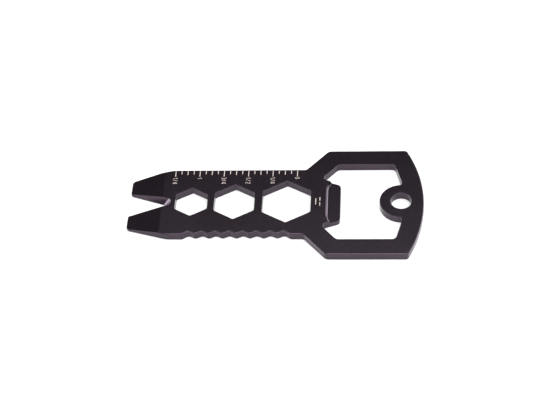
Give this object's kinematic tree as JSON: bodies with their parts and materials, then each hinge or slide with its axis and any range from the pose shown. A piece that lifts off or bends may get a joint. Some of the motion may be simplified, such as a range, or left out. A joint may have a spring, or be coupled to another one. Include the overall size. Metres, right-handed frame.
{
  "type": "keychain bottle opener",
  "caption": "Flat key-shaped steel tool: bottle opener head with hooked lip and keyring hole, hexagonal wrench holes, ruler edge, finger scallops and forked nail puller.",
  "frame": {"origin": "middle of the underside, halfway along and halfway across the plate", "axes": "+X from the fork to the opener head, +Y towards the ruler edge, +Z out of the marked face"},
  "size_m": [0.0754, 0.0354, 0.0022],
  "materials": {
    "coated_steel": "satin black coating",
    "pale_mark": "flat off-white marking"
  },
  "bodies": {
    "root": {"tool_plate": "coated_steel", "graduation_00": "pale_mark", "graduation_01": "pale_mark", "graduation_02": "pale_mark", "graduation_03": "pale_mark", "graduation_04": "pale_mark", "graduation_05": "pale_mark", "graduation_06": "pale_mark", "graduation_07": "pale_mark", "graduation_08": "pale_mark", "graduation_09": "pale_mark", "graduation_10": "pale_mark", "graduation_11": "pale_mark", "graduation_12": "pale_mark", "graduation_13": "pale_mark", "graduation_14": "pale_mark", "graduation_15": "pale_mark", "graduation_16": "pale_mark", "graduation_17": "pale_mark", "graduation_18": "pale_mark", "graduation_19": "pale_mark", "graduation_20": "pale_mark", "label_zero_numeral": "pale_mark", "label_quarter_numeral": "pale_mark", "label_quarter_bar": "pale_mark", "label_quarter_lower": "pale_mark", "label_half_numeral": "pale_mark", "label_half_bar": "pale_mark", "label_half_lower": "pale_mark", "label_three_quarter_numeral": "pale_mark", "label_three_quarter_bar": "pale_mark", "label_three_quarter_lower": "pale_mark", "label_one_numeral": "pale_mark", "label_one_and_quarter_numeral": "pale_mark", "label_one_and_quarter_bar": "pale_mark", "label_one_and_quarter_lower": "pale_mark", "dash_mark_1": "pale_mark", "dash_mark_2": "pale_mark", "dash_mark_3": "pale_mark"}
  },
  "joints": []
}
